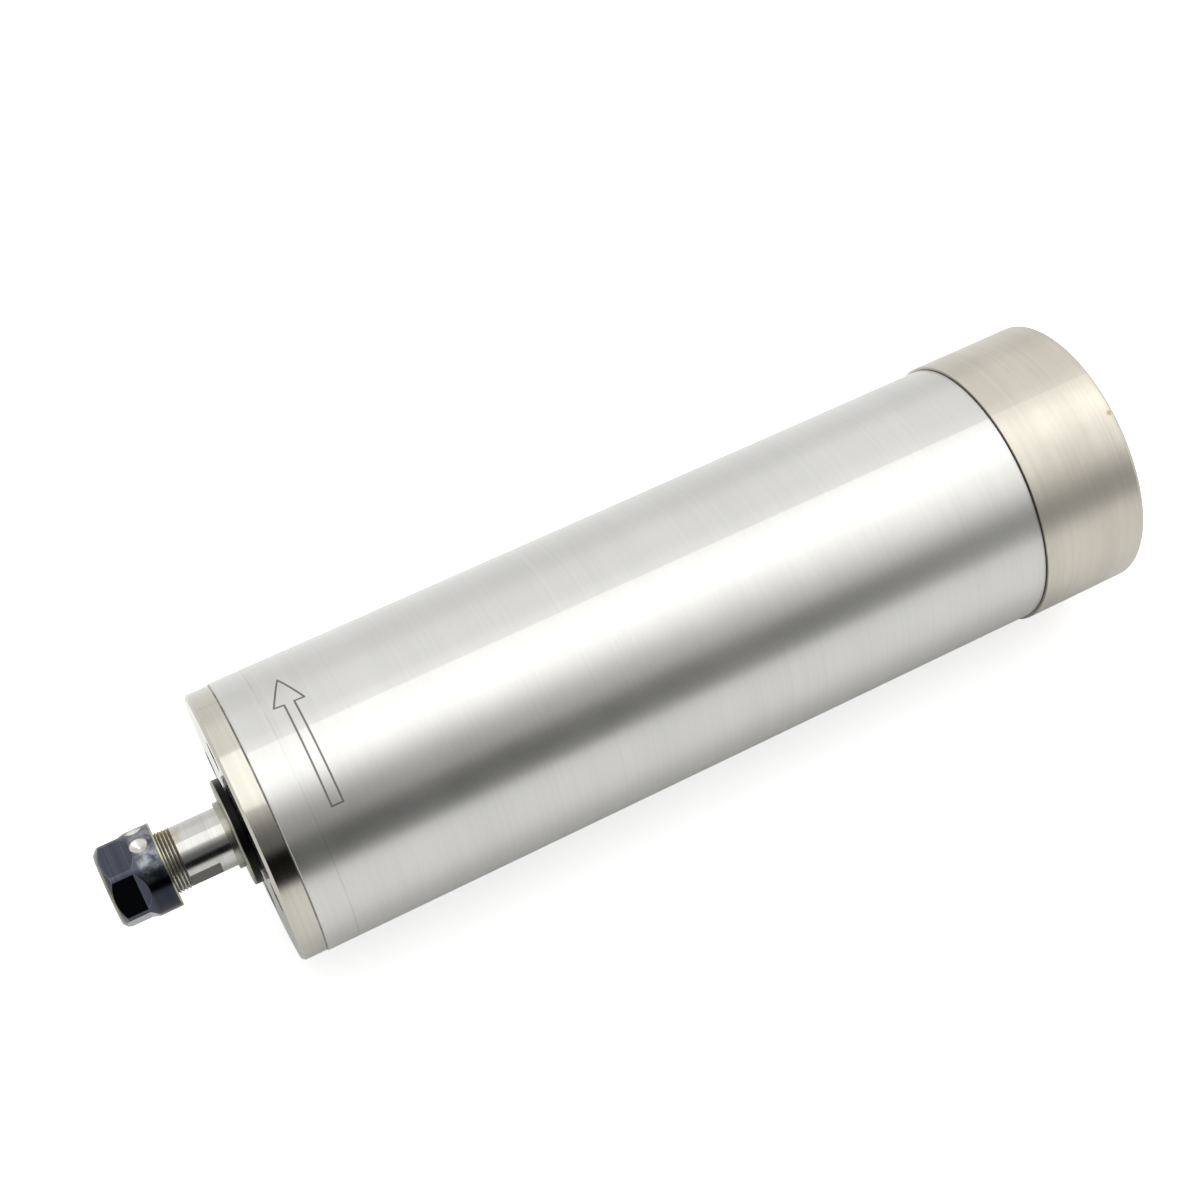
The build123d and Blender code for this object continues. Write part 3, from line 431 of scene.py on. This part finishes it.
def make_stack():
    """Thin sheets or turns of wire along the axis, each a little different, with a line between them."""
    group, given, wanted = new_effect(
        "stack", {"Along": 0.0, "Pitch": 0.5, "Gap": 0.16}, ("Line", "Height", "Tone"),
    )
    count = math_node(group, "DIVIDE", given["Along"], given["Pitch"])
    centred = math_node(group, "SUBTRACT", math_node(group, "FRACT", count), 0.5)
    away = math_node(group, "ABSOLUTE", centred)
    start = math_node(group, "SUBTRACT", 0.5, given["Gap"])
    each = group.nodes.new("ShaderNodeTexWhiteNoise")
    each.noise_dimensions = "1D"
    feed(group, each.inputs["W"], math_node(group, "FLOOR", count))
    feed(group, wanted["Line"], rise(group, away, start, 0.5))
    feed(group, wanted["Height"], fade(group, away, start, 0.5))
    feed(group, wanted["Tone"], each.outputs["Value"])


# ---- finishes ----
class Finish:
    """A material in the making: a colour and a roughness, with other coats laid over them by masks."""

    def __init__(self, name, metallic):
        self.material = bpy.data.materials.new(name)
        self.material.use_nodes = True
        self.tree = self.material.node_tree
        self.shader = self.tree.nodes["Principled BSDF"]
        self.shader.inputs["Metallic"].default_value = metallic
        self.place = self.tree.nodes.new("ShaderNodeTexCoord").outputs["Object"]

    @cached_property
    def spot(self):
        """Along, Turn and Out of each point of the piece."""
        return self.effect("place_on_axis")

    def effect(self, name, **values):
        """Places a shared effect on the piece, with its own values."""
        node = self.tree.nodes.new("ShaderNodeGroup")
        node.node_tree = EFFECTS[name]
        if "Vector" in node.inputs:
            values["Vector"] = self.place
        for label, value in values.items():
            feed(self.tree, node.inputs[label.replace("_", " ")], value)
        return node.outputs

    def rim(self, measure, station, width, broken):
        """Mask of a broken band round the axis. The measure is Along or Out."""
        values = {"Measure": self.spot[measure], "Station": station, "Width": width, "Broken": broken}
        return self.effect("rim", **values)["Mask"]

    def round_spot(self, station, clock, radius, soft):
        """Mask of a round patch on the turned surface."""
        measures = {label: self.spot[label] for label in ("Along", "Turn", "Out")}
        values = {"Station": station, "Clock": clock, "Radius": radius, "Soft": soft}
        return self.effect("round_spot", **measures, **values)["Mask"]

    def between(self, measure, low, high, blur):
        """Mask of a stretch of a measure, from low to high, with both ends blurred."""
        start = rise(self.tree, self.spot[measure], low - blur, low + blur)
        end = fade(self.tree, self.spot[measure], high - blur, high + blur)
        return product(self.tree, start, end)

    def set_colour(self, colour):
        self.colour = colour
        feed(self.tree, self.shader.inputs["Base Color"], colour)

    def set_rough(self, rough):
        self.rough = rough
        feed(self.tree, self.shader.inputs["Roughness"], rough)

    def lay_over(self, mask, colour, rough=None):
        """Lays a colour, and a roughness if given, over the finish where a mask says."""
        self.set_colour(blend_colours(self.tree, mask, self.colour, colour))
        if rough is not None:
            self.set_rough(blend_numbers(self.tree, mask, self.rough, rough))

    def bump(self, height, strength, distance=0.1 * MM, under=None):
        """Relief from a height, over the relief under it if there is one."""
        node = self.tree.nodes.new("ShaderNodeBump")
        node.inputs["Strength"].default_value = strength
        node.inputs["Distance"].default_value = distance
        feed(self.tree, node.inputs["Height"], height)
        if under is not None:
            feed(self.tree, node.inputs["Normal"], under)
        feed(self.tree, self.shader.inputs["Normal"], node.outputs[0])
        return node.outputs[0]

    def ring_grain(self, amount):
        """Stretches highlights along the axis, as marks that run round a turned piece do."""
        tangent = self.tree.nodes.new("ShaderNodeTangent")
        tangent.direction_type = "RADIAL"
        tangent.axis = "X"
        feed(self.tree, self.shader.inputs["Tangent"], tangent.outputs[0])
        self.shader.inputs["Anisotropic"].default_value = amount
        self.shader.inputs["Anisotropic Rotation"].default_value = 0.25


def turned_metal(name, bright, dull, rough, spread, fine=5000.0, broad=260.0, depth=0.05, stretch=0.0):
    """Turned or ground metal: tool marks in tone, roughness and relief, with smudges and hairlines."""
    finish = Finish(name, metallic=1.0)
    tree = finish.tree
    marks = finish.effect("tool_marks", Fine=fine, Broad=broad)
    hands = finish.effect("handling")
    clean = blend_colours(tree, even(tree, marks["Tone"]), dull, bright)
    finish.set_colour(blend_colours(tree, product(tree, hands["Smudge"], 0.25), clean, dull))
    tooled = even(tree, marks["Tone"], rough + spread / 2, rough - spread / 2)
    smudged = product(tree, hands["Smudge"], spread)
    scratched = product(tree, hands["Scratch"], spread * 1.5)
    finish.set_rough(total(tree, tooled, smudged, scratched))
    finish.bump(marks["Height"], depth)
    if stretch:
        finish.ring_grain(stretch)
    return finish


def worn_metal(name, rubbed, **values):
    """Turned metal with its edges rubbed to another colour."""
    finish = turned_metal(name, **values)
    wear = finish.effect("edge_wear", Reach=0.15 * MM, Broken=0.6)["Mask"]
    finish.lay_over(product(finish.tree, wear, 0.7), rubbed, rough=0.28)
    return finish


def moulded(name, light, dark, rough, size=1800.0, depth=0.15, metallic=0.0):
    """Moulded or cast surface with an even fine grain, and smudges."""
    finish = Finish(name, metallic)
    tree = finish.tree
    grain = finish.effect("pores", Size=size)
    hands = finish.effect("handling")
    finish.set_colour(blend_colours(tree, even(tree, grain["Tone"]), dark, light))
    grained = even(tree, grain["Height"], rough - 0.06, rough + 0.06)
    finish.set_rough(total(tree, grained, product(tree, hands["Smudge"], 0.08)))
    finish.bump(grain["Height"], depth)
    return finish


def stacked(name, light, dark, rough, pitch, metallic):
    """Sheets or wires side by side along the axis, under varnish."""
    finish = Finish(name, metallic)
    tree = finish.tree
    sheets = finish.effect("stack", Along=finish.spot["Along"], Pitch=pitch)
    grain = finish.effect("pores")
    each = product(tree, total(tree, sheets["Tone"], grain["Tone"]), 0.5)
    shaded = tuple(0.75 * part for part in light)
    varied = blend_colours(tree, each, shaded, light)
    finish.set_colour(blend_colours(tree, sheets["Line"], varied, dark))
    finish.set_rough(even(tree, grain["Height"], rough - 0.08, rough + 0.08))
    finish.bump(sheets["Height"], strength=0.5, distance=0.08 * MM)
    return finish


ARROW_CLOCK = 25.0
ARROW_WIDTH = 0.27
TIP = (12.6, -52.7)
BARBS = ((15.8, -37.9), (9.2, -38.5))
NECKS = ((13.6, -38.1), (11.4, -38.1))
TAILS = ((13.7, 6.6), (11.2, 6.6))


def arrow_strokes(finish):
    """Outline of the arrow that shows which way the shaft turns. Points are stations and clocks."""
    arc = product(finish.tree, finish.spot["Turn"], BARREL_RADIUS * math.radians(1.0))
    flat = vector_of(finish.tree, X=finish.spot["Along"], Y=arc)
    outline = (TIP, BARBS[0], NECKS[0], TAILS[0], TAILS[1], NECKS[1], BARBS[1], TIP)
    corners = [
        (station, math.radians(clock + ARROW_CLOCK) * BARREL_RADIUS, 0.0) for station, clock in outline
    ]
    strokes = [
        finish.effect("mark_line", Place=flat, Start=start, End=end, Half_Width=ARROW_WIDTH)["Mask"]
        for start, end in zip(corners, corners[1:])
    ]
    return largest(finish.tree, *strokes)


def barrel_finish():
    """Fine belt-ground barrel with an etched arrow, one scribed line and painted shade in the seams at its
    ends.
    """
    finish = Finish("belt_ground_barrel", metallic=1.0)
    tree = finish.tree
    marks = finish.effect("tool_marks", Fine=1300.0, Broad=60.0, Round=8.0)
    hands = finish.effect("handling", Size=30.0, Scratch_Size=46.0)
    etched = arrow_strokes(finish)
    ground = blend_colours(tree, even(tree, marks["Tone"]), (0.588, 0.584, 0.557), (0.622, 0.617, 0.589))
    finish.set_colour(ground)
    finish.lay_over(product(tree, etched, 0.8), (0.14, 0.12, 0.11))
    scribed = finish.rim("Along", station=7.2, width=0.3, broken=0.7)
    finish.lay_over(product(tree, scribed, 0.22), (0.25, 0.24, 0.22))
    # Painted shade: the seams at both ends are darkened in the colour, for the shadow in their gaps.
    front = finish.rim("Along", station=0.0, width=0.3, broken=0.4)
    back = finish.rim("Along", station=BARREL_END, width=0.24, broken=0.5)
    finish.lay_over(product(tree, largest(tree, front, back), 0.75), (0.05, 0.045, 0.04))
    tooled = even(tree, marks["Tone"], 0.292, 0.277)
    finish.set_rough(total(tree, tooled, product(tree, hands["Smudge"], 0.03), product(tree, etched, 0.25)))
    grain = finish.bump(marks["Height"], strength=0.012)
    finish.bump(product(tree, etched, -1.0), strength=0.4, distance=0.03 * MM, under=grain)
    finish.ring_grain(0.85)
    return finish


# Painted shade for the gaps at the seams, laid on with a rougher finish.
SEAM_SHADE = (0.06, 0.05, 0.045)


def cover_finish():
    """Polished nickel cover, with painted shade in the seam where it meets the barrel, and painted shade and
    reflection of the slinger's dark rim round the slinger.
    """
    finish = turned_metal(
        "polished_nickel", bright=(0.58, 0.560, 0.492), dull=(0.51, 0.49, 0.43),
        rough=0.10, spread=0.05, depth=0.02, stretch=0.3,
    )
    # Painted shade in the seam where the cover meets the barrel.
    seam = finish.rim("Along", station=0.0, width=0.25, broken=0.3)
    finish.lay_over(product(finish.tree, seam, 0.8), SEAM_SHADE, rough=0.4)
    # Painted shade and reflection: a dark ring on the face round the slinger, for the shadow of its gap and
    # the dark rim mirrored in the face.
    slinger_ring_shade = finish.rim("Out", station=12.0, width=1.6, broken=0.5)
    finish.lay_over(product(finish.tree, slinger_ring_shade, 0.6), (0.10, 0.09, 0.08))
    return finish


def cap_finish():
    """Satin nickel rear cap, with painted shade in its seam and one small chip at its rear edge."""
    finish = turned_metal(
        "satin_nickel", bright=(0.585, 0.550, 0.480), dull=(0.53, 0.497, 0.430),
        rough=0.305, spread=0.05, fine=1600.0, broad=110.0, depth=0.02, stretch=0.86,
    )
    # Painted shade in the gap where the cap meets the barrel.
    seam = fade(finish.tree, finish.spot["Out"], BARREL_RADIUS, BARREL_RADIUS + 0.15)
    finish.lay_over(product(finish.tree, seam, 0.8), SEAM_SHADE, rough=0.5)
    chip = finish.round_spot(station=CAP_END - 1.3, clock=19.0, radius=0.55, soft=0.35)
    finish.lay_over(product(finish.tree, chip, 0.7), (0.42, 0.33, 0.19), rough=0.5)
    return finish


def shaft_finish():
    """Ground shaft: darker between the thread's crests, a stain above, and rougher machined flats whose dark
    colour is painted shade.
    """
    finish = turned_metal(
        "ground_shaft", bright=(0.56, 0.555, 0.525), dull=(0.47, 0.465, 0.44),
        rough=0.13, spread=0.07, broad=420.0, depth=0.03, stretch=0.2,
    )
    tree = finish.tree
    along, turn, out = finish.spot["Along"], finish.spot["Turn"], finish.spot["Out"]
    # Darker and rougher between the thread's crests.
    threaded = fade(tree, along, FLATS_FRONT - 0.05, FLATS_FRONT + 0.05)
    groove = product(tree, threaded, fade(tree, out, THREAD_RADIUS - 0.38, THREAD_RADIUS - 0.1))
    finish.lay_over(product(tree, groove, 0.5), (0.09, 0.075, 0.05), rough=0.42)
    above = product(tree, rise(tree, turn, -115.0, -45.0), fade(tree, turn, -40.0, 30.0))
    near = fade(tree, along, FLATS_FRONT - 0.2, FLATS_FRONT + 2.6)
    bare = remap(tree, along, NUT_REAR - 1.2, NUT_REAR + 0.2, 0.15, 1.0)
    patch = rise(tree, noise(tree, finish.place, 700.0, 4.0), 0.42, 0.6)
    stain = product(tree, above, near, bare, patch, 0.7)
    finish.lay_over(stain, (0.42, 0.28, 0.06), rough=0.4)
    # Flats: rougher, with a dark colour that is painted shade, for the shaded floor they reflect.
    flats = finish.between("Along", FLATS_FRONT, FLATS_REAR, blur=0.02)
    flats_finish_and_shade = product(tree, flats, fade(tree, out, NECK_RADIUS - 0.06, NECK_RADIUS - 0.02))
    finish.lay_over(flats_finish_and_shade, (0.12, 0.118, 0.10), rough=0.32)
    return finish


def slinger_finish():
    """Turned slinger: bright front face, with its rim and back painted dark as shade."""
    finish = turned_metal(
        "slinger_rim_painted_shade", bright=(0.36, 0.355, 0.30), dull=(0.26, 0.255, 0.215),
        rough=0.24, spread=0.12, stretch=0.2,
    )
    # Painted shade: the rim and back are painted very dark, for the shadow and dark reflection they show.
    rim_shade = rise(finish.tree, finish.spot["Along"], SLINGER_FACE + 0.42, SLINGER_FACE + 0.5)
    finish.lay_over(rim_shade, (0.012, 0.012, 0.012), rough=0.38)
    return finish


def nut_finish():
    """Black oxide nut: painted shade on the lower side of the collar, painted highlight in cloudy patches on
    its upper side, rubbed edges and bright drilled dimples.
    """
    finish = turned_metal(
        "black_oxide", bright=(0.076, 0.083, 0.108), dull=(0.047, 0.052, 0.070),
        rough=0.13, spread=0.06, fine=2600.0, broad=500.0, depth=0.03,
    )
    tree = finish.tree
    turn = finish.spot["Turn"]
    collar = rise(tree, finish.spot["Along"], NUT_REAR - 5.6, NUT_REAR - 4.4)
    # Painted shade: the lower side of the collar is darkened, for the dark room it reflects.
    lower_shade = product(tree, rise(tree, turn, 15.0, 45.0), fade(tree, turn, 120.0, 150.0))
    finish.lay_over(product(tree, lower_shade, collar, 0.7), (0.018, 0.019, 0.026))
    # Painted highlight: pale cloudy patches on the upper side of the collar, for the softbox it reflects.
    above = product(tree, rise(tree, turn, -80.0, -50.0), fade(tree, turn, 20.0, 50.0))
    cloud = rise(tree, noise(tree, finish.place, 330.0, 5.0, 0.65), 0.38, 0.62)
    finish.lay_over(product(tree, cloud, collar, above, 0.85), (0.27, 0.285, 0.30))
    wear = product(tree, finish.effect("edge_wear", Reach=0.2 * MM, Broken=0.6)["Mask"], 0.65)
    front = product(tree, finish.rim("Along", station=NUT_FACE, width=0.75, broken=0.35), 0.7)
    back = finish.rim("Along", station=NUT_REAR, width=0.5, broken=0.25)
    finish.lay_over(largest(tree, wear, front, back), (0.46, 0.44, 0.30), rough=0.28)
    dimples = [finish.round_spot(DIMPLE_STATION, clock, DIMPLE_RADIUS, 0.05) for clock in DIMPLE_CLOCKS]
    sunk = fade(tree, finish.spot["Out"], NUT_RADIUS - 0.08, NUT_RADIUS - 0.02)
    finish.lay_over(product(tree, largest(tree, *dimples), sunk), (0.70, 0.69, 0.66), rough=0.42)
    return finish


def dress(finish, *names):
    """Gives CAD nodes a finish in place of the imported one."""
    for name in names:
        slots = nodes[name].data.materials
        slots.clear()
        slots.append(finish.material)


def dress_nose_and_body():
    dress(barrel_finish(), "barrel")
    dress(cover_finish(), "front_cover")
    dress(cap_finish(), "rear_cap")
    dress(shaft_finish(), "spindle_shaft")
    dress(slinger_finish(), "slinger")
    dress(nut_finish(), "collet_nut")
    collet = turned_metal(
        "ground_collet", bright=(0.68, 0.67, 0.65), dull=(0.55, 0.54, 0.52), rough=0.17, spread=0.08)
    dress(collet, "collet")
    blackened = worn_metal(
        "blackened_steel", rubbed=(0.42, 0.41, 0.39), bright=(0.055, 0.055, 0.060),
        dull=(0.030, 0.030, 0.032), rough=0.34, spread=0.12)
    dress(blackened, "lock_nut", "front_cover_screws", "rear_cap_screws")


def dress_bearings():
    bearings = ("front_bearing_a", "front_bearing_b", "rear_bearing_a", "rear_bearing_b")
    steel = turned_metal(
        "bearing_steel", bright=(0.70, 0.71, 0.72), dull=(0.62, 0.63, 0.64),
        rough=0.10, spread=0.05, stretch=0.2)
    balls = turned_metal(
        "lapped_balls", bright=(0.74, 0.75, 0.76), dull=(0.70, 0.71, 0.72),
        rough=0.05, spread=0.03, depth=0.01)
    cage = moulded(
        "phenolic_cage", light=(0.30, 0.15, 0.06), dark=(0.17, 0.08, 0.03),
        rough=0.55, size=2600.0, depth=0.25)
    spring = turned_metal(
        "spring_steel", bright=(0.42, 0.40, 0.38), dull=(0.30, 0.29, 0.28), rough=0.28, spread=0.10)
    for bearing in bearings:
        dress(steel, bearing + "_outer_ring", bearing + "_inner_ring")
        dress(balls, bearing + "_balls")
        dress(cage, bearing + "_cage")
    dress(steel, "outer_spacer", "inner_spacer")
    dress(spring, "preload_spring")


def dress_housings():
    housing = turned_metal(
        "turned_housing", bright=(0.56, 0.56, 0.56), dull=(0.44, 0.44, 0.44),
        rough=0.30, spread=0.10, fine=3000.0, depth=0.12, stretch=0.5)
    jacket = turned_metal(
        "jacket_aluminium", bright=(0.74, 0.75, 0.76), dull=(0.62, 0.63, 0.65),
        rough=0.36, spread=0.12, fine=2200.0, depth=0.15)
    rubber = moulded(
        "seal_rubber", light=(0.030, 0.030, 0.030), dark=(0.018, 0.018, 0.018),
        rough=0.60, size=2400.0, depth=0.2)
    dress(housing, "front_bearing_housing", "rear_bearing_housing")
    dress(jacket, "water_jacket")
    dress(rubber, "housing_seals")


def dress_motor():
    stator = stacked(
        "stator_sheets", light=(0.30, 0.30, 0.32), dark=(0.05, 0.05, 0.05),
        rough=0.45, pitch=0.5, metallic=1.0)
    rotor = stacked(
        "rotor_sheets", light=(0.36, 0.36, 0.38), dark=(0.06, 0.06, 0.06),
        rough=0.38, pitch=0.5, metallic=1.0)
    copper = stacked(
        "varnished_copper", light=(0.62, 0.25, 0.09), dark=(0.12, 0.04, 0.02),
        rough=0.30, pitch=0.6, metallic=0.8)
    cast = moulded(
        "cast_aluminium", light=(0.72, 0.72, 0.73), dark=(0.60, 0.60, 0.62),
        rough=0.42, size=1500.0, depth=0.3, metallic=1.0)
    brass = turned_metal(
        "turned_brass", bright=(0.80, 0.60, 0.28), dull=(0.66, 0.47, 0.20),
        rough=0.24, spread=0.10, stretch=0.3)
    dress(stator, "stator_core")
    dress(rotor, "rotor_core")
    dress(copper, "stator_winding")
    dress(cast, "rotor_cage")
    dress(brass, "balance_rings")


def dress_fittings():
    nickelled = worn_metal(
        "nickelled_brass", rubbed=(0.70, 0.62, 0.46), bright=(0.66, 0.64, 0.58),
        dull=(0.54, 0.51, 0.44), rough=0.18, spread=0.08)
    plastic = moulded(
        "socket_plastic", light=(0.030, 0.030, 0.033), dark=(0.018, 0.018, 0.020),
        rough=0.42, size=2600.0, depth=0.2)
    gold = turned_metal(
        "gold_contacts", bright=(0.90, 0.66, 0.26), dull=(0.78, 0.55, 0.20), rough=0.20, spread=0.08)
    tube = turned_metal(
        "drawn_copper", bright=(0.78, 0.42, 0.24), dull=(0.50, 0.24, 0.13),
        rough=0.28, spread=0.12, fine=1500.0, broad=160.0)
    red = moulded(
        "red_silicone", light=(0.50, 0.035, 0.025), dark=(0.36, 0.022, 0.018),
        rough=0.48, size=2200.0, depth=0.12)
    green = moulded(
        "green_silicone", light=(0.10, 0.36, 0.06), dark=(0.06, 0.26, 0.04),
        rough=0.48, size=2200.0, depth=0.12)
    dress(nickelled, "connector_shell", "connector_nut", "inlet_nipple", "outlet_nipple")
    dress(plastic, "connector_insert")
    dress(gold, "connector_pins")
    dress(tube, "inlet_tube", "outlet_tube")
    dress(red, "phase_leads")
    dress(green, "earth_lead")


# ---- the scene ----
bpy.context.scene.view_settings.view_transform = "Standard"
camera()
softbox()
window()
studio()
floor()

make_place_on_axis()
make_tool_marks()
make_handling()
make_rim()
make_mark_line()
make_pores()
make_edge_wear()
make_round_spot()
make_stack()

dress_nose_and_body()
dress_bearings()
dress_housings()
dress_motor()
dress_fittings()
